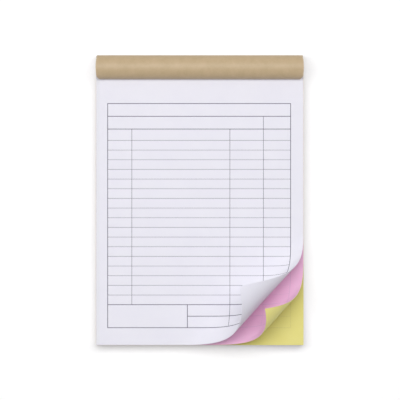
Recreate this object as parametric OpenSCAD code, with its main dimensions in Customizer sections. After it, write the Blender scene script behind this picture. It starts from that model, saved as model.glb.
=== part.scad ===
// Receipt book with its kraft cover turned back over the head and the
// corners of its top copies curled up. The head is at +Y, the foot at -Y.

/* [Pages] */
// Width of a page
page_w = 148; // [120:1:210]
// Length of a page, with the stub that is held at the head
page_l = 203.4; // [170:0.2:297]
// Thickness of one sheet of copy paper
sheet_t = 0.1; // [0.06:0.02:0.2]
// Thickness of the block of pages below the loose ones
block_t = 9; // [3:0.5:20]
// Thickness of the greyboard under the pages
board_t = 1; // [0.8:0.1:2]

/* [Cover] */
// Thickness of the kraft card
card_t = 0.4; // [0.3:0.05:0.6]
// Depth of the strip that the cover folds over the stub
stub_l = 14; // [12:0.5:20]
// Radius inside the crease where the cover turns up off the strip
crease_in_r = 0.1; // [0.05:0.05:0.5]
// Outer radius of the bend where the turned cover goes under the back
under_bend_r = 3; // [2:0.25:5]
// How far past the head that bend starts
bend_start = 0.2; // [0.1:0.1:1]
// Radius of the worn corners at the crease
crease_corner_r = 4; // [0.5:0.5:6]

/* [Curls] */
// Length of the white sheet that is bent, along the corner's diagonal
white_curl_l = 60.3; // [48:0.1:64]
// Direction in which the white sheet bends where it leaves the pad, from the foot's edge
white_start_angle = 48.4; // [43:0.1:52]
// Direction in which it bends at its corner
white_end_angle = 28.3; // [26:0.1:43]
// Radius where the white sheet leaves the pad
white_start_r = 16.4; // [14:0.1:24]
// Radius at the white sheet's corner
white_end_r = 24.1; // [20:0.1:40]
// Length of the pink and yellow pair that is bent, along the corner's diagonal
pair_curl_l = 53.9; // [40:0.1:56]
// Direction in which the pair bends where it leaves the pad, from the foot's edge
pair_start_angle = 50.6; // [43:0.1:54]
// Direction in which it bends at its corner
pair_end_angle = 33.4; // [30:0.1:43]
// Radius where the pair leaves the pad
pair_start_r = 50.2; // [40:0.2:60]
// Radius at the pair's corner
pair_end_r = 10.6; // [10:0.1:16]
// Nick that blunts each bent corner
tip_nick = 0.4; // [0.2:0.1:1]

/* [Ruled form] */
// Blank margin at the left edge
form_left = 8.4; // [4:0.2:15]
// Blank margin at the right edge
form_right = 9.2; // [4:0.2:15]
// Blank margin below the crease
form_top = 17.2; // [8:0.2:30]
// Blank margin at the foot
form_foot = 12.4; // [6:0.2:25]
// Height of each of the two heading rows
heading_h = 9.1; // [6:0.1:12]
// Height of the row over the columns
column_head_h = 8.1; // [6:0.1:12]
// Height of each of the two rows for totals
total_h = 8.2; // [6:0.2:12]
// Number of item rows
item_rows = 17; // [8:1:24]
// Width of the column for quantity
quantity_w = 17.2; // [10:0.2:25]
// Width of the column for amount
amount_w = 19.4; // [12:0.2:25]
// Width of the column for unit price
price_w = 23.9; // [12:0.2:30]
// Width of the box for totals
total_w = 73.6; // [50:0.2:85]
// Width of a border line
border_line = 0.4; // [0.2:0.05:0.6]
// Width of a thin line
thin_line = 0.25; // [0.1:0.05:0.3]
// Thickness of the printed ink
ink_t = 0.03; // [0.02:0.01:0.06]

/* [Staples] */
// Diameter of the wire
wire_d = 0.6; // [0.4:0.05:0.7]
// Width of a staple over its legs' centres
crown_w = 13; // [8:0.5:20]
// Distance between the two staples
staple_pitch = 74; // [50:1:90]
// Length of each leg that is turned in under the board
clinch_l = 4; // [2:0.5:5]
// Clearance round a leg in its hole
leg_clearance = 0.05; // [0.03:0.01:0.1]

/* [Hidden] */
$fn = 48;
curl_steps = 30;

// Along the book
overhang = under_bend_r + bend_start;
foot_y = -(page_l + overhang) / 2;
head_y = foot_y + page_l;
back_y = head_y + overhang;
hinge_y = head_y + bend_start;
crease_y = head_y - stub_l;
corner = [page_w / 2, foot_y];
diagonal = [cos(45), -sin(45)];

// Up from the table: turned cover, cover's back, board, block, loose sheets, strip
board_z = 2 * card_t;
block_z = board_z + board_t;
base_z = block_z + block_t;
yellow_z = base_z + sheet_t;
pink_z = yellow_z + sheet_t;
white_z = pink_z + sheet_t;
strip_z = white_z + sheet_t;
strip_top = strip_z + card_t;

// Turned-back cover
crease_r = card_t + crease_in_r;
roll_r = (stub_l + overhang) / 2;
roll_y = crease_y + roll_r;
roll_z = strip_z + crease_r;
roll_turn_l = PI * (roll_r - card_t / 2);
drop_l = roll_z - under_bend_r;
under_turn_l = PI / 2 * (under_bend_r - card_t / 2);
panel_l = page_l - stub_l - roll_turn_l - drop_l - under_turn_l;

// Ruled form
form_x0 = -page_w / 2 + form_left;
form_x1 = page_w / 2 - form_right;
form_y1 = crease_y - form_top;
form_y0 = foot_y + form_foot;
columns_y1 = form_y1 - 2 * heading_h;
items_y1 = columns_y1 - column_head_h;
items_y0 = form_y0 + 2 * total_h;
row_h = (items_y1 - items_y0) / item_rows;

// Staples
staple_y = crease_y + stub_l / 2;
wire_z = strip_top + wire_d / 2;
clinch_z = board_z + wire_d / 2;
leg_hole_d = wire_d + 2 * leg_clearance;

kraft = [0.76, 0.66, 0.50];
greyboard = [0.55, 0.53, 0.50];
white_paper = [0.93, 0.92, 0.96];
pink_paper = [0.88, 0.66, 0.82];
yellow_paper = [0.89, 0.87, 0.55];
ink = [0.42, 0.42, 0.46];
steel = [0.72, 0.73, 0.75];

// Turns what lies past a fold up about it
function fold_matrix(fold) =
    let (way = fold[0], reach = fold[1], c = cos(fold[2]) - 1, s = sin(fold[2]))
    [[1 + c * way.x * way.x, c * way.x * way.y, -s * way.x, -c * way.x * reach],
     [c * way.x * way.y, 1 + c * way.y * way.y, -s * way.y, -c * way.y * reach],
     [s * way.x, s * way.y, 1 + c, -s * reach],
     [0, 0, 0, 1]];

// A bend is a row of straight folds across a corner. Their direction turns a little from
// each to the next, as it does in curled paper, and no fold stretches the sheet.
// A fold is [way, reach, turn]: way points square to it toward the corner, and reach is how
// far it lies from the origin along way. The last line has no turn and blunts the corner.
// The bend is [folds, places]. Place i carries the strip before fold i from flat to curled.
function bend(length, start_angle, end_angle, start_r, end_r) =
    let (step = (length - tip_nick) / curl_steps,
         folds = [for (i = [0:curl_steps])
             let (s = min(i + 0.5, curl_steps) * step,
                  share = s / length,
                  angle = start_angle + share * (end_angle - start_angle),
                  curvature = 1 / start_r + share * (1 / end_r - 1 / start_r),
                  way = [cos(angle), -sin(angle)],
                  reach = way * (corner - (length - s) * diagonal),
                  turn = i < curl_steps ? step * curvature * 180 / PI : 0)
             [way, reach, turn]],
         unmoved = [[1, 0, 0, 0], [0, 1, 0, 0], [0, 0, 1, 0], [0, 0, 0, 1]],
         places = [for (i = 0, m = unmoved; i <= curl_steps;
                        m = i < curl_steps ? m * fold_matrix(folds[i]) : m, i = i + 1) m])
    [folds, places];

// A point p of the flat sheet, at height h above the reference face, carried by i folds
function carried(b, i, p, h) =
    let (q = b[1][i] * [p.x, p.y, h, 1])
    [q.x, q.y, q.z];

// The same for a point on fold i, where the faces of two strips meet
function on_fold(b, i, p, h) =
    carried(b, i, p - h * tan(b[0][i][2] / 2) * b[0][i][0], h);

// The same for any point of the flat sheet
function bent(b, p, h) =
    carried(b, len([for (i = [0:curl_steps - 1]) if (b[0][i][0] * p > b[0][i][1]) i]), p, h);

white_bend = bend(white_curl_l, white_start_angle, white_end_angle, white_start_r, white_end_r);
pair_bend = bend(pair_curl_l, pair_start_angle, pair_end_angle, pair_start_r, pair_end_r);

// Skin of a strip whose sections are four points, closed at both ends
function strip_faces(sections, first) = concat(
    [[for (k = [3:-1:0]) first + k]],
    [for (i = [0:sections - 2], k = [0:3])
        let (a = first + 4 * i, c = (k + 1) % 4) [a + k, a + c, a + 4 + c, a + 4 + k]],
    [[for (k = [0:3]) first + 4 * (sections - 1) + k]]);

// One page whose corner is bent, between two heights over the reference face
module curled_sheet(b, z, h0, h1) {
    half = page_w / 2;
    sections = [for (i = [0:curl_steps])
        let (way = b[0][i][0],
             reach = b[0][i][1],
             low = [(reach - way.y * foot_y) / way.x, foot_y],
             side = [half, (reach - way.x * half) / way.y])
        each [on_fold(b, i, low, h0), on_fold(b, i, side, h0),
              on_fold(b, i, side, h1), on_fold(b, i, low, h1)]];
    flat = [for (h = [h0, h1]) each [[half, head_y, h], [-half, head_y, h], [-half, foot_y, h]]];
    n = len(sections);
    skin = strip_faces(curl_steps + 1, 0);
    faces = concat([for (i = [1:len(skin) - 1]) skin[i]], [
        [0, n + 2, n + 1, n, 1],
        [3, 2, n + 3, n + 4, n + 5],
        [0, 3, n + 5, n + 2],
        [n + 2, n + 5, n + 4, n + 1],
        [n + 1, n + 4, n + 3, n],
        [n, n + 3, 2, 1]]);
    translate([0, 0, z])
    polyhedron(points = concat(sections, flat), faces = faces, convexity = 6);
}

// One printed line on the white sheet, from a to a + length * way, which leads toward the bend.
// lift is its height over the paper, so that lines that cross share no face.
module ink_line(a, way, length, width, lift) {
    b = white_bend;
    side = [-way.y, way.x] * width / 2;
    ends = [a - side, a + side];
    reach = function (i, k) (b[0][i][1] - b[0][i][0] * ends[k]) / (b[0][i][0] * way);
    near = 0.1;
    crossed = [for (i = [0:curl_steps - 1])
        if (min(reach(i, 0), reach(i, 1)) > near && max(reach(i, 0), reach(i, 1)) < length - near) i];
    h0 = sheet_t + lift;
    h1 = h0 + ink_t;
    function cut(t) = [bent(b, ends[0] + t * way, h0), bent(b, ends[1] + t * way, h0),
                       bent(b, ends[1] + t * way, h1), bent(b, ends[0] + t * way, h1)];
    function fold_cut(i) =
        let (p = ends[0] + reach(i, 0) * way, q = ends[1] + reach(i, 1) * way)
        [on_fold(b, i, p, h0), on_fold(b, i, q, h0), on_fold(b, i, q, h1), on_fold(b, i, p, h1)];
    points = concat(cut(0), [for (i = crossed) each fold_cut(i)], cut(length));
    translate([0, 0, white_z])
    polyhedron(points = points, faces = strip_faces(len(crossed) + 2, 0), convexity = 4);
}

module line_across(y, x0, x1, width) {
    ink_line([x0, y], [1, 0], x1 - x0, width, 0);
}

module line_down(x, y1, y0, width) {
    spare = width / 3;
    ink_line([x, y1 + spare], [0, -1], y1 - y0 + 2 * spare, width, ink_t / 4);
}

// Sector of a ring, in the side view where x runs to the head and y up
module ring_sector(centre, outer_r, from, to) {
    far = 2 * outer_r;
    translate(centre)
    intersection() {
        difference() {
            circle(r = outer_r);
            if (outer_r > card_t)
                circle(r = outer_r - card_t);
        }
        polygon([[0, 0], far * [cos(from), sin(from)], far * [cos((from + to) / 2), sin((from + to) / 2)],
                 far * [cos(to), sin(to)]]);
    }
}

module card_run(from, to) {
    translate(from)
    square(to - from);
}

// Side view of the cover from the foot of its back round to the bend under the head
module wrap_profile() {
    card_run([foot_y, card_t], [head_y, board_z]);
    ring_sector([head_y, board_z], card_t, -90, 0);
    card_run([head_y, board_z], [head_y + card_t, strip_z]);
    ring_sector([head_y, strip_z], card_t, 0, 90);
    card_run([crease_y + crease_r, strip_z], [head_y, strip_top]);
    ring_sector([crease_y + crease_r, roll_z], crease_r, 180, 270);
    ring_sector([roll_y, roll_z], roll_r, 0, 90);
    ring_sector([roll_y, roll_z], roll_r, 90, 180);
    card_run([back_y - card_t, under_bend_r], [back_y, roll_z]);
    ring_sector([hinge_y, under_bend_r], under_bend_r, -90, 0);
}

// Drills for the four legs, between two heights
module leg_holes(from, to) {
    for (x = [-1, 1] * staple_pitch / 2, leg = [-1, 1] * crown_w / 2)
        translate([x + leg, staple_y, from])
        cylinder(d = leg_hole_d, h = to - from, $fn = 24);
}

module cover_panel() {
    color(kraft)
    translate([-page_w / 2, hinge_y - panel_l, 0])
    cube([page_w, panel_l, card_t]);
}

module cover_wrap() {
    r = crease_corner_r;
    color(kraft)
    difference() {
        rotate([90, 0, 90])
        linear_extrude(height = page_w, center = true)
        wrap_profile();
        for (side = [-1, 1])
            translate([side * (page_w / 2 - r), crease_y + r, strip_z - card_t / 4])
            difference() {
                translate([side > 0 ? 0 : -2 * r, -2 * r, 0])
                cube([2 * r, 2 * r, 2 * roll_r]);
                cylinder(r = r, h = 2 * roll_r);
            }
        leg_holes(white_z, roll_z);
    }
}

module backing_board() {
    groove = leg_hole_d;
    color(greyboard)
    difference() {
        translate([-page_w / 2, foot_y, board_z])
        cube([page_w, page_l, board_t]);
        leg_holes(0, roll_z);
        for (x = [-1, 1] * staple_pitch / 2, side = [-1, 1])
            translate([x + side * (crown_w - clinch_l) / 2, staple_y, board_z])
            cube([clinch_l + groove, groove, 2 * (wire_d + leg_clearance)], center = true);
    }
}

module page_block() {
    color(white_paper)
    difference() {
        translate([-page_w / 2, foot_y, block_z])
        cube([page_w, page_l, block_t]);
        leg_holes(0, roll_z);
    }
}

module lower_yellow_sheet() {
    color(yellow_paper)
    difference() {
        translate([-page_w / 2, foot_y, base_z])
        cube([page_w, page_l, sheet_t]);
        leg_holes(0, roll_z);
    }
}

module yellow_sheet() {
    color(yellow_paper)
    difference() {
        curled_sheet(pair_bend, pink_z, -sheet_t, 0);
        leg_holes(0, roll_z);
    }
}

module pink_sheet() {
    color(pink_paper)
    difference() {
        curled_sheet(pair_bend, pink_z, 0, sheet_t);
        leg_holes(0, roll_z);
    }
}

module white_sheet() {
    color(white_paper)
    difference() {
        curled_sheet(white_bend, white_z, 0, sheet_t);
        leg_holes(0, roll_z);
    }
}

module ruled_form() {
    price_x = form_x1 - amount_w - price_w;
    amount_x = form_x1 - amount_w;
    quantity_x = form_x0 + quantity_w;
    total_x = form_x1 - total_w;
    color(ink) {
        for (i = [0:2])
            line_across(form_y1 - i * heading_h, form_x0, form_x1, border_line);
        for (i = [0:item_rows - 1])
            line_across(items_y1 - i * row_h, form_x0, form_x1, thin_line);
        line_across(items_y0, form_x0, form_x1, border_line);
        line_across(form_y0 + total_h, total_x, form_x1, border_line);
        line_across(form_y0, form_x0, form_x1, border_line);
        line_down(form_x0, form_y1, form_y0, border_line);
        line_down(form_x1, form_y1, form_y0, border_line);
        line_down(quantity_x, columns_y1, items_y0, thin_line);
        line_down(price_x, columns_y1, form_y0, thin_line);
        line_down(amount_x, form_y1 - heading_h, form_y0, thin_line);
        line_down(total_x, items_y0, form_y0, border_line);
    }
}

// Wire stitch at x: crown over the strip, two legs, and ends turned in under the board
module staple(x) {
    color(steel)
    translate([x, staple_y, 0])
    for (side = [-1, 1]) {
        leg_x = side * crown_w / 2;
        translate([leg_x, 0, clinch_z])
        cylinder(d = wire_d, h = wire_z - clinch_z, $fn = 24);
        for (z = [clinch_z, wire_z])
            translate([leg_x, 0, z])
            sphere(d = wire_d, $fn = 24);
        translate([0, 0, wire_z])
        rotate([0, side * 90, 0])
        cylinder(d = wire_d, h = crown_w / 2, $fn = 24);
        translate([leg_x - side * clinch_l, 0, clinch_z])
        rotate([0, side * 90, 0])
        cylinder(d = wire_d, h = clinch_l, $fn = 24);
    }
}

module staple_left() {
    staple(-staple_pitch / 2);
}

module staple_right() {
    staple(staple_pitch / 2);
}

cover_panel();
cover_wrap();
backing_board();
page_block();
lower_yellow_sheet();
yellow_sheet();
pink_sheet();
white_sheet();
ruled_form();
staple_left();
staple_right();
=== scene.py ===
from itertools import accumulate
from math import pi, radians

import bpy
import numpy as np
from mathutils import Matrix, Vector


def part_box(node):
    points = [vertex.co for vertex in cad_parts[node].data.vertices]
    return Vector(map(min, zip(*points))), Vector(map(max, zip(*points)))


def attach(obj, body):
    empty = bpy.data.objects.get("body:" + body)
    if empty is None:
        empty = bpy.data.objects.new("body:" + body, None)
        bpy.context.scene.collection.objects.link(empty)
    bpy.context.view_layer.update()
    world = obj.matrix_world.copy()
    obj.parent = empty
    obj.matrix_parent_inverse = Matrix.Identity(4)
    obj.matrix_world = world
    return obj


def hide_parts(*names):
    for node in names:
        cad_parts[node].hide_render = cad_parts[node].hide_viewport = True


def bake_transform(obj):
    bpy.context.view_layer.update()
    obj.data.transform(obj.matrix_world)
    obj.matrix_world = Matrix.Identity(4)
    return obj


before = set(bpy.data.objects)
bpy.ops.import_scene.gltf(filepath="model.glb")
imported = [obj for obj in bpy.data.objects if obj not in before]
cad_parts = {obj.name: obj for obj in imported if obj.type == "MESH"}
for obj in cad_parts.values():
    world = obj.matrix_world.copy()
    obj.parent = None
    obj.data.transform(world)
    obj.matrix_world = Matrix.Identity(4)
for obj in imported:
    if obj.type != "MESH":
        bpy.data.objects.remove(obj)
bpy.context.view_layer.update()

print("Receipt book: frame loaded")

# Sizes in metres. The frame gives the heights and the page's edges.
book = {
    "sheet": 0.0001,         # thickness of one loose sheet
    "card": 0.0004,          # thickness of the kraft card
    "stub": 0.014,           # strip that the cover folds over the stub
    "bendRadius": 0.003,     # outer radius of the bend under the head
    "bendStart": 0.0002,     # how far past the head that bend starts
    "creaseInside": 0.0001,  # radius inside the crease
    "creaseCorner": 0.0028,  # rounded corners at the crease
    "drawIn": 0.001,         # how much narrower the roll is at its front and back than on top
    "creaseShadeReach": 0.003,    # how far from the crease the painted crease shade reaches
    "tight": 0.00005,        # radius left inside the two square bends of the back
    "endRun": 0.002,         # length at a free end where the card's rows stand closer
}

pageLow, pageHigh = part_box("lower_yellow_sheet")
blockLow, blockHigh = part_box("page_block")
halfPage = pageHigh.x
footY, headY = pageLow.y, pageHigh.y
sheet = book["sheet"]
corner = np.array([halfPage, footY])                  # the lower right one
diagonal = np.array([np.sqrt(0.5), -np.sqrt(0.5)])    # way out through that corner
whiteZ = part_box("white_sheet")[0].z
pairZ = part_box("pink_sheet")[0].z
stripZ = whiteZ + sheet
creaseY = headY - book["stub"]
hingeY = headY + book["bendStart"]
backY = hingeY + book["bendRadius"]


# Meshes

# Puts points and quads into a mesh as whole arrays. The quads are turned round where the solid's
# volume, the sum of a . (b x c) / 6 over its triangles, comes out negative. The flat places become
# the UV map, and the marks, such as wear from 0 to 1 at each point, attributes.
def makePiece(name, points, quads, flat, body=None, sharp=35, marks=None):
    points = np.asarray(points, float).reshape(-1, 3)
    quads = np.asarray(quads, int).reshape(-1, 4)
    a, b, c, d = (points[quads[:, k]] for k in range(4))
    volume = (a * (np.cross(b, c) + np.cross(c, d))).sum() / 6
    if volume < 0:
        quads = quads[:, ::-1]
    mesh = bpy.data.meshes.new(name)
    mesh.vertices.add(len(points))
    mesh.vertices.foreach_set("co", points.astype(np.float32).ravel())
    mesh.loops.add(quads.size)
    mesh.loops.foreach_set("vertex_index", quads.astype(np.int32).ravel())
    mesh.polygons.add(len(quads))
    mesh.polygons.foreach_set("loop_start", np.arange(0, quads.size, 4, dtype=np.int32))
    uv = mesh.uv_layers.new(name="flat")
    flat = np.asarray(flat, np.float32).reshape(-1, 2)
    uv.data.foreach_set("uv", flat[quads.ravel()].ravel())
    for label, values in (marks or {}).items():
        mark = mesh.attributes.new(label, "FLOAT", "POINT")
        mark.data.foreach_set("value", np.asarray(values, np.float32).ravel())
    mesh.update(calc_edges=True)
    mesh.validate()
    mesh.polygons.foreach_set("use_smooth", np.ones(len(mesh.polygons), bool))
    mesh.set_sharp_from_angle(angle=radians(sharp))
    piece = bpy.data.objects.new(name, mesh)
    bpy.context.scene.collection.objects.link(piece)
    if body:
        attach(piece, body)
    return piece


# Two faces of a sheet, each a grid of the same shape, closed round their rim: point i of the lower
# face has number i + rows x columns, and a wall joins the rim's points to the ones under them
def closedGrid(upper, lower):
    rows, columns = upper.shape[:2]
    index = np.arange(rows * columns).reshape(rows, columns)
    cells = np.stack([index[:-1, :-1], index[1:, :-1], index[1:, 1:], index[:-1, 1:]], -1).reshape(-1, 4)
    rim = np.concatenate([index[:-1, 0], index[-1, :-1], index[:0:-1, -1], index[0, :0:-1]])
    after = np.roll(rim, -1)
    under = rows * columns
    wall = np.stack([rim, rim + under, after + under, after], -1)
    quads = np.concatenate([cells, cells[:, ::-1] + under, wall])
    return np.concatenate([upper.reshape(-1, 3), lower.reshape(-1, 3)]), quads


# Closed strips, as an array of strips x sections x 4 corners x 3: each corner is joined to the next
# one round its section and to the same two of the next section, and the ends are closed
def closedStrips(sections):
    strips, count = sections.shape[:2]
    index = np.arange(strips * count * 4).reshape(strips, count, 4)
    here, there = index[:, :-1], index[:, 1:]
    sides = np.stack([here, np.roll(here, -1, 2), np.roll(there, -1, 2), there], -1).reshape(-1, 4)
    ends = np.concatenate([index[:, 0, ::-1], index[:, -1]])
    return sections.reshape(-1, 3), np.concatenate([sides, ends])


# Paper that curls

# Length along the corner's diagonal, and at both ends the direction of the bend from the foot's
# edge in degrees and its radius
whiteCurl = {"length": 0.0603, "angles": (48.4, 28.3), "radii": (0.0164, 0.0241)}
pairCurl = {"length": 0.0539, "angles": (50.6, 33.4), "radii": (0.0502, 0.0106)}
# How far inside the page's edge each curled sheet is cut
trims = {"white": 0.00012, "pink": 0.00006, "yellow": 0.00003}
# How many folds make a curl, how far apart a sheet's grid lines are, and points along each line
fineness = {"folds": 300, "flatStep": 0.006, "bendStep": 0.0009, "linePoints": 140}


# A row of straight folds across the corner, so close that they read as one bend. Their direction
# and curvature change evenly along the diagonal. A fold is the line way . p = reach, and place i,
# which carries the flat sheet past i folds, is the product of the first i turns about those lines.
def foldRow(curl):
    count = fineness["folds"]
    share = (np.arange(count) + 0.5) / count
    angle = np.radians(np.interp(share, (0, 1), curl["angles"]))
    way = np.stack([np.cos(angle), -np.sin(angle)], -1)
    middle = corner - (1 - share[:, None]) * curl["length"] * diagonal
    reach = (way * middle).sum(-1)
    turn = curl["length"] / count * np.interp(share, (0, 1), 1 / np.array(curl["radii"]))
    shift, lift = np.cos(turn) - 1, np.sin(turn)
    toward = np.stack([way[:, 0], way[:, 1], 0 * reach, -reach], -1)
    turns = np.tile(np.eye(4), (count, 1, 1))
    turns[:, :2] += shift[:, None, None] * way[:, :, None] * toward[:, None]
    turns[:, 2] += lift[:, None] * toward
    turns[:, :2, 2] -= lift[:, None] * way
    turns[:, 2, 2] += shift
    places = np.array(list(accumulate(turns, np.matmul, initial=np.eye(4))))
    return way, reach, places


# Where points of the flat sheet lie on the curl, at a height over the sheet's lower face: each is
# carried by the place that belongs to the number of folds it has passed
def bentPoint(folds, x, y, height, baseZ):
    flat = np.stack(np.broadcast_arrays(x, y, height, 1.0), -1)
    if folds is None:
        return flat[..., :3] + np.array([0, 0, baseZ])
    way, reach, places = folds
    passed = (flat[..., :2] @ way.T > reach).sum(-1)
    return np.einsum("...ij,...j->...i", places[passed][..., :3, :], flat) + np.array([0, 0, baseZ])


# Grid lines across a page: even steps up to where the bend starts, and closer even steps past it
def gridLines(low, high, bendFrom):
    flatCount = max(2, int(abs(bendFrom - low) / fineness["flatStep"]))
    bendCount = int(abs(high - bendFrom) / fineness["bendStep"]) + 1
    return np.concatenate([np.linspace(low, bendFrom, flatCount, endpoint=False),
                           np.linspace(bendFrom, high, bendCount)])


# One page as a closed sheet: its grid lies in the flat page and each point goes through the bend,
# which starts on the foot and on the right edge where the first fold, way . p = reach, meets them
def curledPage(name, folds, low, high, baseZ, inset):
    way, reach = folds[0][0], folds[1][0]
    reachX = (reach - way[1] * footY) / way[0]
    reachY = (reach - way[0] * halfPage) / way[1]
    xs = gridLines(-halfPage + inset, halfPage - inset, reachX)
    ys = gridLines(headY, footY + inset, reachY)
    x, y = np.meshgrid(xs, ys, indexing="ij")
    upper = bentPoint(folds, x, y, high, baseZ)
    lower = bentPoint(folds, x, y, low, baseZ)
    points, quads = closedGrid(upper, lower)
    flat = np.concatenate([np.stack([x, y], -1).reshape(-1, 2)] * 2)
    return makePiece(name, points, quads, flat, "pad")


# The form's margins, row heights, column widths and line widths, and the ink's height on the paper
form = {
    "left": 0.0084, "right": 0.0092, "top": 0.0172, "foot": 0.0124,
    "heading": 0.0091, "columnHead": 0.0081, "total": 0.0082, "rows": 17,
    "quantity": 0.0172, "amount": 0.0194, "price": 0.0239, "totalBox": 0.0736,
    "border": 0.00042, "thin": 0.00027, "row": 0.00021, "ink": 0.00001,
}


# The ruled form, as lines from start to end in the flat page, with a width each. Lines across run
# half a width past the borders, lines down half a width past the top and the foot.
def formLines():
    x0, x1 = -halfPage + form["left"], halfPage - form["right"]
    y1, y0 = creaseY - form["top"], footY + form["foot"]
    namesFoot = y1 - form["heading"]
    columnsTop = namesFoot - form["heading"]
    itemsTop, itemsFoot = columnsTop - form["columnHead"], y0 + 2 * form["total"]
    rowHeight = (itemsTop - itemsFoot) / form["rows"]
    border, thin, row = form["border"], form["thin"], form["row"]
    amountX, totalX = x1 - form["amount"], x1 - form["totalBox"]
    across = [(y, x0, border) for y in (y1, namesFoot, columnsTop, itemsFoot, y0)]
    across += [(itemsTop - i * rowHeight, x0, row) for i in range(form["rows"])]
    across += [(y0 + form["total"], totalX, border)]
    down = [(x0, y1, y0, border), (x1, y1, y0, border),
            (x0 + form["quantity"], columnsTop, itemsFoot, thin),
            (amountX - form["price"], columnsTop, y0, thin),
            (amountX, namesFoot, y0, thin), (totalX, itemsFoot, y0, border)]
    lines = [((start - w / 2, y), (x1 + w / 2, y), w) for y, start, w in across]
    return lines + [((x, top + w / 2), (x, foot - w / 2), w) for x, top, foot, w in down]


# Printed lines as thin closed strips that follow the sheet: the four corners of each section lie
# half a width to the left and right of the line, just under and just over the paper's face
def printedForm(name, folds, baseZ, paperTop, samples=fineness["linePoints"]):
    lines = formLines()
    start, end = (np.array([line[k] for line in lines])[:, None] for k in (0, 1))
    width = np.array([line[2] for line in lines])[:, None, None]
    along = end - start
    along = along / np.linalg.norm(along, axis=-1, keepdims=True)
    side = np.stack([-along[..., 1], along[..., 0]], -1) * width / 2
    centre = start + (end - start) * np.linspace(0, 1, samples)[None, :, None]
    left, right = centre + side, centre - side
    low, high = paperTop - form["ink"] / 2, paperTop + form["ink"]
    sections = np.stack([bentPoint(folds, p[..., 0], p[..., 1], h, baseZ)
                         for p, h in ((left, low), (right, low), (right, high), (left, high))], 2)
    points, quads = closedStrips(sections)
    flat = np.stack([left, right, right, left], 2)
    return makePiece(name, points, quads, flat, "pad")


# The kraft cover

# Points on a circle: centre plus radius times (cos, sin) of evenly spaced angles in degrees
def arc(y, z, radius, fromAngle, toAngle, steps):
    angle = np.radians(np.linspace(fromAngle, toAngle, steps))
    return np.stack([y + radius * np.cos(angle), z + radius * np.sin(angle)], -1)


# Points on a straight run: start times (1 - t) plus end times t
def straight(start, end, steps):
    t = np.linspace(0, 1, steps)[:, None]
    return np.array(start) * (1 - t) + np.array(end) * t


# How much narrower than the page the card is on each side, along its path. On the roll it draws in
# by (distance from the roll's middle / roll radius)^2, and behind the head by (height / roll
# height)^2. A rounded corner at the crease takes radius - sqrt(radius^2 - inside^2) more.
def cardCut(path):
    y, z = path[:, 0], path[:, 1]
    middle = (creaseY + backY) / 2
    onRoll = ((y - middle) / (backY - middle)) ** 2
    behind = np.clip(z / stripZ, 0, 1) ** 2 * (y > headY + book["card"])
    radius = book["creaseCorner"]
    inside = np.clip(radius - (y - creaseY), 0, radius)
    rounded = radius - np.sqrt(radius ** 2 - inside ** 2)
    return np.where(z > stripZ, book["drawIn"] * onRoll + rounded, book["drawIn"] * behind)


# Wear: how far in from the card's edges, the radius of a bend that wears by half, how much of that
# shows, and the grid across the card, with closer lines near its edges
cardWear = {"reach": 0.001, "bendRadius": 0.0015, "bendShare": 0.6,
            "rim": (0.0003, 0.0006, 0.001, 0.002), "columns": 49}


# A card that follows a path in the side view, as thick as the card, closed all round. It is worn
# toward its edges, 1 - distance / reach, and where it bends, 1 / (1 + (radius / bend radius)^2). It
# is darker near the crease by painted shade, exp(-(distance along the path / reach)^2).
def cardAlong(name, path, body=None):
    keep = np.concatenate([[True], np.linalg.norm(np.diff(path, axis=0), axis=1) > 1e-7])
    path = path[keep]
    way = np.gradient(path, axis=0)
    way /= np.linalg.norm(way, axis=1, keepdims=True)
    outward = np.stack([way[:, 1], -way[:, 0]], -1)
    run = np.concatenate([[0], np.cumsum(np.linalg.norm(np.diff(path, axis=0), axis=1))])
    turning = np.linalg.norm(np.gradient(way, run, axis=0), axis=1)
    bent = 1 / (1 + (1 / (np.maximum(turning, 1e-3) * cardWear["bendRadius"])) ** 2)
    creaseRun = run[np.argmin(np.hypot(path[:, 0] - creaseY, path[:, 1] - stripZ))]
    nearCrease = path[:, 1] > stripZ - book["card"]
    # painted shade in the crease: strongest at the crease and fading along the path
    paintedCreaseShade = np.where(nearCrease, np.exp(-((run - creaseRun) / book["creaseShadeReach"]) ** 2), 0)
    rim = np.array(cardWear["rim"]) / halfPage
    inner = np.linspace(-1 + rim[-1], 1 - rim[-1], cardWear["columns"])
    across = np.concatenate([[-1], -1 + rim[:-1], inner, 1 - rim[-2::-1], [1]])
    x = across[None] * (halfPage - cardCut(path))[:, None]
    columns = len(across)

    # One face of the card: the path moved outward by the offset, repeated across the width
    def face(offset):
        line = path + outward * offset
        return np.stack([x, np.repeat(line[:, :1], columns, 1), np.repeat(line[:, 1:], columns, 1)], -1)

    points, quads = closedGrid(face(book["card"] / 2), face(-book["card"] / 2))
    flat = np.stack([x, np.repeat(run[:, None], columns, 1)], -1).reshape(-1, 2)
    edge = np.clip(1 - (1 - np.abs(across)) * halfPage / cardWear["reach"], 0, 1)
    ends = np.clip(1 - np.minimum(run, run[-1] - run) / cardWear["reach"], 0, 1)
    creased = cardWear["bendShare"] * bent * (1 - paintedCreaseShade)
    worn = np.maximum(np.maximum(edge[None], ends[:, None]), creased[:, None])
    paintedCreaseShade = np.repeat(paintedCreaseShade, columns)
    marks = {"worn": np.tile(worn.ravel(), 2), "paintedCreaseShade": np.tile(paintedCreaseShade, 2)}
    return makePiece(name, points, quads, np.concatenate([flat, flat]), body, marks=marks)


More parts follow.
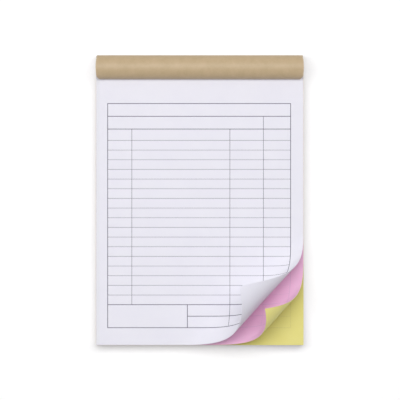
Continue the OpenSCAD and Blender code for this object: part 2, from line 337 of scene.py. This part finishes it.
print("Receipt book: cover")
half = book["card"] / 2
creaseRadius = book["card"] + book["creaseInside"]
rollRadius = (backY - creaseY) / 2
rollY, rollZ = creaseY + rollRadius, stripZ + creaseRadius
bend = book["bendRadius"]
endRun, tight = book["endRun"], book["tight"]
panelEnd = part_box("cover_panel")[0].y
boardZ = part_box("backing_board")[0].z
turnedPath = np.concatenate([
    straight((panelEnd, half), (panelEnd + endRun, half), 5),
    straight((panelEnd + endRun, half), (hingeY, half), 40),
    arc(hingeY, bend, bend - half, -90, 0, 16),
    straight((backY - half, bend), (backY - half, rollZ), 8),
    arc(rollY, rollZ, rollRadius - half, 0, 180, 64),
    arc(creaseY + creaseRadius, rollZ, creaseRadius - half, 180, 270, 10)])
turnedCover = cardAlong("turned_cover", turnedPath)
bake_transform(turnedCover)
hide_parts("cover_panel")

backPath = np.concatenate([
    straight((creaseY + creaseRadius, stripZ + half), (headY - tight, stripZ + half), 36),
    arc(headY - tight, stripZ - tight, half + tight, 90, 0, 6),
    straight((headY + half, stripZ - tight), (headY + half, boardZ + tight), 6),
    arc(headY - tight, boardZ + tight, half + tight, 0, -90, 6),
    straight((headY - tight, boardZ - half), (footY + endRun, boardZ - half), 40),
    straight((footY + endRun, boardZ - half), (footY, boardZ - half), 5)])
coverBack = cardAlong("cover_back", backPath, "pad")
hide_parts("cover_wrap")

print("Receipt book: pages")
whiteFolds, pairFolds = foldRow(whiteCurl), foldRow(pairCurl)
whitePage = curledPage("white_page", whiteFolds, 0, sheet, whiteZ, trims["white"])
pinkPage = curledPage("pink_page", pairFolds, 0, sheet, pairZ, trims["pink"])
yellowPage = curledPage("yellow_page", pairFolds, -sheet, 0, pairZ, trims["yellow"])
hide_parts("white_sheet")
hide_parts("pink_sheet")
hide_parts("yellow_sheet")
whiteForm = printedForm("white_form", whiteFolds, whiteZ, sheet)
pinkForm = printedForm("pink_form", pairFolds, pairZ, sheet)
yellowForm = printedForm("yellow_form", None, pageHigh.z, 0, samples=2)
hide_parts("ruled_form")


# The pages below: how many, in sets of how many colours, how far each sheet's edge stands in by its
# own amount and by a slow wave, points along each side, and the seed of the random amounts
block = {"sheets": 150, "set": 3, "unevenness": 0.00006, "wave": 0.00003, "points": 25, "seed": 7}


# The pages below as one stack: a ring of points round each sheet's upper and lower edge, drawn in
# by that sheet's own amount plus a wave, (1 + sin(three turns round the ring + its own phase)) / 2.
# A grid between the ring's points closes the stack above and below.
def pageBlock():
    rng = np.random.default_rng(block["seed"])
    sheets, count = block["sheets"], block["points"]
    level = np.linspace(blockLow.z, blockHigh.z, sheets + 1)
    z = np.stack([level[:-1], level[1:]], -1).ravel()
    t = np.linspace(0, 1, count, endpoint=False)
    sides = [((-1, -1), (1, -1)), ((1, -1), (1, 1)), ((1, 1), (-1, 1)), ((-1, 1), (-1, -1))]
    ring = np.concatenate([np.array(a) * (1 - t)[:, None] + np.array(b) * t[:, None] for a, b in sides])
    own = rng.random((sheets, 1)) * block["unevenness"]
    phase = rng.random((sheets, 1)) * 2 * pi
    wave = (1 + np.sin(np.arange(len(ring)) / len(ring) * 6 * pi + phase)) / 2 * block["wave"]
    inset = np.repeat(own + wave, 2, 0)
    x = ring[None, :, 0] * (halfPage - inset)
    y = (footY + headY) / 2 + ring[None, :, 1] * ((headY - footY) / 2 - inset)
    points = np.stack([x, y, np.repeat(z[:, None], len(ring), 1)], -1)
    index = np.arange(len(z) * len(ring)).reshape(len(z), len(ring))
    turned = np.roll(index, -1, 1)
    wall = np.stack([index[:-1], turned[:-1], turned[1:], index[1:]], -1).reshape(-1, 4)
    around = np.linalg.norm(np.diff(points[0], axis=0, append=points[0][:1]), axis=1)
    run = np.concatenate([[0], np.cumsum(around)[:-1]])
    flat = np.stack([np.tile(run, (len(z), 1)), np.repeat(z[:, None], len(ring), 1)], -1)
    points, flat, quads = [points.reshape(-1, 3)], [flat.reshape(-1, 2)], [wall]
    inner = np.linspace(-1, 1, count + 1)[1:-1]
    innerX, innerY = np.meshgrid(inner * halfPage, (footY + headY) / 2 + inner * (headY - footY) / 2,
                                 indexing="ij")
    for row, height, underside in ((index[0], z[0], True), (index[-1], z[-1], False)):
        grid = np.zeros((count + 1, count + 1), int)
        grid[:, 0], grid[-1] = row[:count + 1], row[count:2 * count + 1]
        grid[:, -1] = row[2 * count:3 * count + 1][::-1]
        grid[0] = np.append(row[3 * count:], row[0])[::-1]
        grid[1:-1, 1:-1] = sum(len(p) for p in points) + np.arange(innerX.size).reshape(innerX.shape)
        points.append(np.stack([innerX, innerY, innerX * 0 + height], -1).reshape(-1, 3))
        flat.append(points[-1][:, :2])
        cells = np.stack([grid[:-1, :-1], grid[1:, :-1], grid[1:, 1:], grid[:-1, 1:]], -1).reshape(-1, 4)
        quads.append(cells[:, ::-1] if underside else cells)
    return np.concatenate(points), np.concatenate(quads), np.concatenate(flat)


points, quads, flat = pageBlock()
pages = makePiece("pages", points, quads, flat, "pad", sharp=60)
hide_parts("page_block")


# Materials

# Adds a node and sets its own properties
def addNode(tree, kind, **settings):
    node = tree.nodes.new(kind)
    for key, value in settings.items():
        setattr(node, key, value)
    return node


# Sets inputs by name, with _ for a space
def setInputs(node, **values):
    for key, value in values.items():
        node.inputs[key.replace("_", " ")].default_value = value
    return node


# A node group with its outer sockets: (name, kind) pairs of vectors, colours or plain values
def makeGroup(name, inputs, outputs):
    group = bpy.data.node_groups.new(name, "ShaderNodeTree")
    for way, sockets in (("INPUT", inputs), ("OUTPUT", outputs)):
        for label, kind in sockets:
            group.interface.new_socket(label, in_out=way, socket_type="NodeSocket" + kind)
    return group, group.nodes.new("NodeGroupInput"), group.nodes.new("NodeGroupOutput")


# Mixes two colours by a factor: either may be a socket or a plain colour
def mixColours(tree, factor, first, second):
    mix = addNode(tree, "ShaderNodeMix", data_type="RGBA")
    for slot, value in ((0, factor), (6, first), (7, second)):
        if hasattr(value, "links"):
            tree.links.new(value, mix.inputs[slot])
        elif slot == 0:
            mix.inputs[0].default_value = value
        else:
            mix.inputs[slot].default_value = (*value, 1)
    return mix.outputs[2]


# Joins two values by one sum, product or the like
def reckon(tree, operation, first, second=None):
    node = addNode(tree, "ShaderNodeMath", operation=operation)
    for slot, value in ((0, first), (1, second)):
        if hasattr(value, "links"):
            tree.links.new(value, node.inputs[slot])
        elif value is not None:
            node.inputs[slot].default_value = value
    return node.outputs[0]


# Stretches a value from the given range to 0..1 and keeps it there
def spread(tree, value, low, high):
    node = setInputs(addNode(tree, "ShaderNodeMapRange"), From_Min=low, From_Max=high)
    tree.links.new(value, node.inputs["Value"])
    return node.outputs["Result"]


# Cloudy pulp and fine fibres, both round 0.5, flecks and a height for the bump. The fibres are the
# greatest of three stretched noises, each turned another way. A fleck is where two of them are low.
def makeFibreGrain():
    group, given, result = makeGroup(
        "fibreGrain",
        (("Place", "Vector"), ("Cloud Scale", "Float"), ("Fibre Scale", "Float")),
        (("Cloud", "Float"), ("Fibre", "Float"), ("Fleck", "Float"), ("Height", "Float")))
    link = group.links.new
    cloud = setInputs(addNode(group, "ShaderNodeTexNoise"), Detail=5.0, Roughness=0.6)
    link(given.outputs["Place"], cloud.inputs["Vector"])
    link(given.outputs["Cloud Scale"], cloud.inputs["Scale"])
    layers = []
    for turn, stretch in ((0.3, 9.0), (1.9, 7.0), (2.7, 11.0)):
        mapping = addNode(group, "ShaderNodeMapping")
        setInputs(mapping, Rotation=(0, 0, turn), Scale=(1, stretch, 1))
        fibre = setInputs(addNode(group, "ShaderNodeTexNoise"), Detail=3.0, Roughness=0.7, Distortion=0.6)
        link(given.outputs["Place"], mapping.inputs["Vector"])
        link(mapping.outputs["Vector"], fibre.inputs["Vector"])
        link(given.outputs["Fibre Scale"], fibre.inputs["Scale"])
        layers.append(fibre.outputs["Fac"])
    fibres = reckon(group, "MAXIMUM", reckon(group, "MAXIMUM", layers[0], layers[1]), layers[2])
    link(cloud.outputs["Fac"], result.inputs["Cloud"])
    link(fibres, result.inputs["Fibre"])
    low = reckon(group, "MAXIMUM", layers[0], layers[1])
    link(reckon(group, "SUBTRACT", 1.0, low), result.inputs["Fleck"])
    link(reckon(group, "ADD", fibres, cloud.outputs["Fac"]), result.inputs["Height"])
    return group


# Mask for the painted shade along the page's left edge: how near a point is to that edge, 1 - distance /
# reach, and never under 0
def makePaintedSideShade():
    group, given, result = makeGroup(
        "paintedSideShade",
        (("Place", "Vector"), ("Half Width", "Float"), ("Reach", "Float")),
        (("Mask", "Float"),))
    split = addNode(group, "ShaderNodeSeparateXYZ")
    group.links.new(given.outputs["Place"], split.inputs[0])
    inward = reckon(group, "ADD", given.outputs["Half Width"], split.outputs["X"])
    share = reckon(group, "DIVIDE", inward, given.outputs["Reach"])
    rest = addNode(group, "ShaderNodeMath", operation="SUBTRACT", use_clamp=True)
    rest.inputs[0].default_value = 1.0
    group.links.new(share, rest.inputs[1])
    group.links.new(rest.outputs[0], result.inputs["Mask"])
    return group


fibreGrain = makeFibreGrain()
paintedSideShade = makePaintedSideShade()

# Which part of each noise shows, from nothing to all, how strong the flecks are, how deep the bump
# is in metres, and how far the painted shade along the paper's left edge reaches
grainLook = {"clouds": (0.3, 0.7), "fibres": (0.55, 0.8), "flecks": (0.55, 0.64), "fleckShare": 0.6,
             "relief": 0.00005, "paintedShadeReach": 0.0035}


# A matt pulp surface: the base colour goes toward dark in the clouds and toward light in the
# fibres. Gives the material, and by name what its own makers add to.
def pulpMaterial(name, look, useUv=True):
    material = bpy.data.materials.new(name)
    material.use_nodes = True
    tree = material.node_tree
    tree.nodes.clear()
    link = tree.links.new
    output = addNode(tree, "ShaderNodeOutputMaterial")
    shader = setInputs(addNode(tree, "ShaderNodeBsdfPrincipled"),
                       Roughness=look["roughness"], Metallic=look.get("metal", 0.0))
    shader.inputs["Specular IOR Level"].default_value = look["specular"]
    if look.get("thin"):
        shader.inputs["Subsurface Weight"].default_value = look["thin"]
        shader.inputs["Subsurface Radius"].default_value = (1.0, 1.0, 1.0)
        shader.inputs["Subsurface Scale"].default_value = sheet / 2
    place = addNode(tree, "ShaderNodeTexCoord").outputs["UV" if useUv else "Object"]
    grain = addNode(tree, "ShaderNodeGroup", node_tree=fibreGrain)
    setInputs(grain, Cloud_Scale=look["cloudScale"], Fibre_Scale=look["fibreScale"])
    link(place, grain.inputs["Place"])
    clouds = spread(tree, grain.outputs["Cloud"], *grainLook["clouds"])
    strands = spread(tree, grain.outputs["Fibre"], *grainLook["fibres"])
    fibres = reckon(tree, "MULTIPLY", strands, look["fibre"])
    colour = mixColours(tree, clouds, look["dark"], look["base"])
    colour = mixColours(tree, fibres, colour, look["light"])
    if look.get("fleck"):
        flecks = spread(tree, grain.outputs["Fleck"], *grainLook["flecks"])
        flecks = reckon(tree, "MULTIPLY", flecks, grainLook["fleckShare"])
        colour = mixColours(tree, flecks, colour, look["fleck"])
    bump = setInputs(addNode(tree, "ShaderNodeBump"), Strength=look["bump"], Distance=grainLook["relief"])
    link(grain.outputs["Height"], bump.inputs["Height"])
    link(colour, shader.inputs["Base Color"])
    link(bump.outputs["Normal"], shader.inputs["Normal"])
    link(shader.outputs["BSDF"], output.inputs["Surface"])
    return material, {"tree": tree, "shader": shader, "place": place, "grain": grain, "colour": colour}


# Each finish: its base colour, the clouds' dark and the fibres' light one, how much the fibres show,
# the noises' scales, the surface, and what is its own: thin paper lets some light through
paper = {"fibre": 0.3, "cloudScale": 45.0, "fibreScale": 900.0,
         "roughness": 0.85, "specular": 0.2, "bump": 0.25}
looks = {
    # each paper's edge colour is painted shade along its left edge
    "white": {**paper, "base": (0.86, 0.85, 0.92), "dark": (0.84, 0.83, 0.905),
              "light": (0.885, 0.875, 0.935), "edge": (0.80, 0.805, 0.84), "thin": 0.7},
    "pink": {**paper, "base": (0.88, 0.55, 0.74), "dark": (0.865, 0.52, 0.72),
             "light": (0.89, 0.61, 0.775), "edge": (0.85, 0.50, 0.70), "thin": 0.5},
    "yellow": {**paper, "base": (0.82, 0.76, 0.295), "dark": (0.80, 0.735, 0.27),
               "light": (0.85, 0.795, 0.375), "edge": (0.80, 0.74, 0.32), "thin": 0.5},
    "kraft": {"base": (0.535, 0.40, 0.24), "dark": (0.47, 0.35, 0.20), "light": (0.65, 0.51, 0.34),
              "fibre": 0.45, "cloudScale": 140.0, "fibreScale": 600.0,
              "roughness": 0.48, "specular": 0.5, "bump": 0.5, "fleck": (0.36, 0.25, 0.14),
              "worn": (0.66, 0.56, 0.42), "wornPatches": (0.45, 0.65), "wornRoughness": 0.35,
              # the dark colour near the crease and its share are painted shade
              "paintedCreaseShade": (0.30, 0.24, 0.23), "creaseShadeShare": 0.6},
    "board": {"base": (0.42, 0.40, 0.36), "dark": (0.34, 0.32, 0.29), "light": (0.56, 0.54, 0.50),
              "fibre": 0.5, "cloudScale": 300.0, "fibreScale": 700.0,
              "roughness": 0.9, "specular": 0.15, "bump": 0.6, "fleck": (0.20, 0.19, 0.18)},
    "wire": {"base": (0.62, 0.63, 0.65), "dark": (0.5, 0.5, 0.52), "light": (0.7, 0.7, 0.72),
             "fibre": 0.5, "cloudScale": 300.0, "fibreScale": 700.0,
             "roughness": 0.3, "specular": 0.5, "bump": 0.1, "metal": 1.0},
}


# Paper, with painted shade that makes it a little greyer along its left edge
def paperMaterial(name, look, useUv=True):
    material, made = pulpMaterial(name, look, useUv)
    tree = made["tree"]
    # painted shade: the base colour goes toward the edge colour near the left edge
    fade = setInputs(addNode(tree, "ShaderNodeGroup", node_tree=paintedSideShade),
                     Half_Width=halfPage, Reach=grainLook["paintedShadeReach"])
    tree.links.new(made["place"], fade.inputs["Place"])
    edged = mixColours(tree, fade.outputs["Mask"], made["colour"], look["edge"])
    tree.links.new(edged, made["shader"].inputs["Base Color"])
    return material


# Kraft card, darker near the crease with painted shade, and paler and rougher where it is worn, in
# patches
def kraftMaterial():
    look = looks["kraft"]
    material, made = pulpMaterial("kraftCard", look)
    tree, shader = made["tree"], made["shader"]
    # painted shade near the crease darkens the card's colour
    creaseShadeMark = addNode(tree, "ShaderNodeAttribute", attribute_type="GEOMETRY", attribute_name="paintedCreaseShade")
    paintedCreaseShade = reckon(tree, "MULTIPLY", creaseShadeMark.outputs["Fac"], look["creaseShadeShare"])
    colour = mixColours(tree, paintedCreaseShade, made["colour"], look["paintedCreaseShade"])
    wear = addNode(tree, "ShaderNodeAttribute", attribute_type="GEOMETRY", attribute_name="worn")
    patches = spread(tree, made["grain"].outputs["Fibre"], *look["wornPatches"])
    worn = reckon(tree, "MULTIPLY", wear.outputs["Fac"], patches)
    tree.links.new(mixColours(tree, worn, colour, look["worn"]), shader.inputs["Base Color"])
    rougher = reckon(tree, "MULTIPLY", worn, look["wornRoughness"])
    tree.links.new(reckon(tree, "ADD", rougher, look["roughness"]), shader.inputs["Roughness"])
    return material


# Cut edges of the block: how far the plies' colours go toward white, and two sets of bands, each
# with its noise's scale along and up the block, its place in that noise, its strength and colour
edgeLook = {
    "whiter": 0.45, "fibre": 0.5,
    "bands": (((9.0, 1400.0, 1), (3.0, 3.0, 3.0), 0.35, (0.70, 0.65, 0.66)),
              ((22.0, 4200.0, 1), (8.0, 8.0, 8.0), 0.30, (0.92, 0.90, 0.95))),
}


# Yellow, pink and white plies follow each other up the block: the fraction of height / set height
# picks the colour. Broad bands lie over them, where a handful of sheets catch more or less light.
def edgeMaterial():
    look = {**looks["white"], "thin": 0.0, "fibre": edgeLook["fibre"]}
    material, made = pulpMaterial("pageEdges", look)
    tree, place = made["tree"], made["place"]
    link = tree.links.new
    split = addNode(tree, "ShaderNodeSeparateXYZ")
    link(place, split.inputs[0])
    ply = reckon(tree, "MULTIPLY", reckon(tree, "SUBTRACT", split.outputs["Y"], blockLow.z),
                 block["sheets"] / block["set"] / (blockHigh.z - blockLow.z))
    ramp = addNode(tree, "ShaderNodeValToRGB")
    ramp.color_ramp.interpolation = "CONSTANT"
    stops = ramp.color_ramp.elements
    stops[0].position, stops[0].color = 0.0, (*looks["yellow"]["base"], 1)
    stops[1].position, stops[1].color = 1 / 3, (*looks["pink"]["base"], 1)
    stops.new(2 / 3).color = (*looks["white"]["base"], 1)
    link(reckon(tree, "FRACT", ply), ramp.inputs["Fac"])
    shaded = mixColours(tree, edgeLook["whiter"], ramp.outputs["Color"], made["colour"])
    for scale, start, share, colour in edgeLook["bands"]:
        mapping = setInputs(addNode(tree, "ShaderNodeMapping"), Scale=scale, Location=start)
        noise = setInputs(addNode(tree, "ShaderNodeTexNoise"), Scale=1.0, Detail=2.0, Roughness=0.6)
        link(place, mapping.inputs["Vector"])
        link(mapping.outputs["Vector"], noise.inputs["Vector"])
        band = spread(tree, noise.outputs["Fac"], *grainLook["clouds"])
        shaded = mixColours(tree, reckon(tree, "MULTIPLY", band, share), shaded, colour)
    link(shaded, made["shader"].inputs["Base Color"])
    return material


# Inks: the colour where the print is dense, the one where it thins, and its own surface
inks = {
    "white": {"base": (0.05, 0.035, 0.085), "thinned": (0.08, 0.065, 0.12)},
    "pink": {"base": (0.74, 0.47, 0.65), "thinned": (0.78, 0.51, 0.69)},
    "yellow": {"base": (0.72, 0.66, 0.25), "thinned": (0.77, 0.71, 0.29)},
    "print": {"bump": 0.1, "cloudScale": 700.0},
}


# Printed ink, which thins a little along each line: both of the pulp's other colours are the thin one
def inkMaterial(name, ink):
    thinned = {"dark": ink["thinned"], "light": ink["thinned"]}
    return pulpMaterial(name, {**paper, **inks["print"], **thinned, "base": ink["base"]})[0]


# Gives a piece its one material
def dress(thing, material):
    thing.data.materials.clear()
    thing.data.materials.append(material)


print("Receipt book: materials")
kraft = kraftMaterial()
wire = pulpMaterial("stapleWire", looks["wire"], useUv=False)[0]
clothing = (
    (whitePage, paperMaterial("whitePaper", looks["white"])),
    (pinkPage, paperMaterial("pinkPaper", looks["pink"])),
    (yellowPage, paperMaterial("yellowPaper", looks["yellow"])),
    (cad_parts["lower_yellow_sheet"], paperMaterial("yellowFlatPaper", looks["yellow"], useUv=False)),
    (turnedCover, kraft),
    (coverBack, kraft),
    (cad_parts["backing_board"], pulpMaterial("greyboard", looks["board"], useUv=False)[0]),
    (pages, edgeMaterial()),
    (whiteForm, inkMaterial("greyInk", inks["white"])),
    (pinkForm, inkMaterial("pinkSheetInk", inks["pink"])),
    (yellowForm, inkMaterial("yellowSheetInk", inks["yellow"])),
    (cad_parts["staple_left"], wire),
    (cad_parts["staple_right"], wire),
)
for thing, material in clothing:
    dress(thing, material)

# Stage: pale floor, soft light from the head's side, and the camera straight above
print("Receipt book: stage")
floorLook = {"side": 3.0, "drop": 0.00003, "plain": (0.9, 0.9, 0.9), "shown": (0.87, 0.87, 0.875),
             "glow": 0.19}


# A flat floor just under the book. To the camera it is nearly white and glows a little, and to the
# other rays it is plain pale grey.
def makeFloor():
    side, z = floorLook["side"], -floorLook["drop"]
    mesh = bpy.data.meshes.new("floor")
    corners = [(-side, -side, z), (side, -side, z), (side, side, z), (-side, side, z)]
    mesh.from_pydata(corners, [], [(0, 1, 2, 3)])
    floor = bpy.data.objects.new("floor", mesh)
    bpy.context.scene.collection.objects.link(floor)
    material = bpy.data.materials.new("paleFloor")
    material.use_nodes = True
    tree = material.node_tree
    tree.nodes.clear()
    link = tree.links.new
    output = addNode(tree, "ShaderNodeOutputMaterial")
    path = addNode(tree, "ShaderNodeLightPath")
    plain = setInputs(addNode(tree, "ShaderNodeBsdfDiffuse"), Color=(*floorLook["plain"], 1))
    shown = setInputs(addNode(tree, "ShaderNodeBsdfDiffuse"), Color=(*floorLook["shown"], 1))
    glow = setInputs(addNode(tree, "ShaderNodeEmission"), Color=(1, 1, 1, 1), Strength=floorLook["glow"])
    both = addNode(tree, "ShaderNodeAddShader")
    link(shown.outputs[0], both.inputs[0])
    link(glow.outputs[0], both.inputs[1])
    choose = addNode(tree, "ShaderNodeMixShader")
    link(path.outputs["Is Camera Ray"], choose.inputs["Fac"])
    link(plain.outputs[0], choose.inputs[1])
    link(both.outputs[0], choose.inputs[2])
    link(choose.outputs[0], output.inputs["Surface"])
    dress(floor, material)


light = {"width": 3.0, "depth": 1.2, "place": (-0.12, 0.52, 2.0), "power": 36.2,
         "sky": 0.335, "skyColour": (0.985, 0.985, 1.0)}


# One wide softbox that faces the book, and a pale sky that the camera and mirrors see as white
def makeLight():
    data = bpy.data.lights.new("softbox", "AREA")
    data.shape = "ELLIPSE"
    data.size = light["width"]
    data.size_y = light["depth"]
    data.energy = light["power"]
    lamp = bpy.data.objects.new("softbox", data)
    lamp.location = light["place"]
    lamp.rotation_mode = "QUATERNION"
    lamp.rotation_quaternion = Vector(light["place"]).to_track_quat("Z", "Y")
    bpy.context.scene.collection.objects.link(lamp)
    world = bpy.data.worlds.new("sky")
    world.use_nodes = True
    tree = world.node_tree
    tree.nodes.clear()
    path = addNode(tree, "ShaderNodeLightPath")
    sky = setInputs(addNode(tree, "ShaderNodeBackground"),
                    Color=(*light["skyColour"], 1), Strength=light["sky"])
    seen = setInputs(addNode(tree, "ShaderNodeBackground"), Color=(1, 1, 1, 1), Strength=1.0)
    choose = addNode(tree, "ShaderNodeMixShader")
    output = addNode(tree, "ShaderNodeOutputWorld")
    either = reckon(tree, "MAXIMUM", path.outputs["Is Camera Ray"], path.outputs["Is Glossy Ray"])
    tree.links.new(either, choose.inputs["Fac"])
    tree.links.new(sky.outputs[0], choose.inputs[1])
    tree.links.new(seen.outputs[0], choose.inputs[2])
    tree.links.new(choose.outputs[0], output.inputs["Surface"])
    bpy.context.scene.world = world


# Where the camera looks, how far it is above the paper, and how much of the paper a pixel covers
shot = {"centre": (0.0002, 0.00014), "distance": 2.2, "pixel": 0.0007129, "pixels": 400,
        "sensor": 36.0, "farthest": 20.0}


# The camera looks straight down. Its lens is the sensor times the distance over the width seen.
def makeCamera():
    data = bpy.data.cameras.new("camera")
    data.sensor_width = shot["sensor"]
    data.lens = shot["sensor"] * shot["distance"] / (shot["pixel"] * shot["pixels"])
    data.clip_end = shot["farthest"]
    camera = bpy.data.objects.new("camera", data)
    camera.location = (*shot["centre"], whiteZ + shot["distance"])
    bpy.context.scene.collection.objects.link(camera)
    bpy.context.scene.camera = camera


makeFloor()
makeLight()
makeCamera()
bpy.context.scene.view_settings.view_transform = "Standard"

print("Receipt book: done")
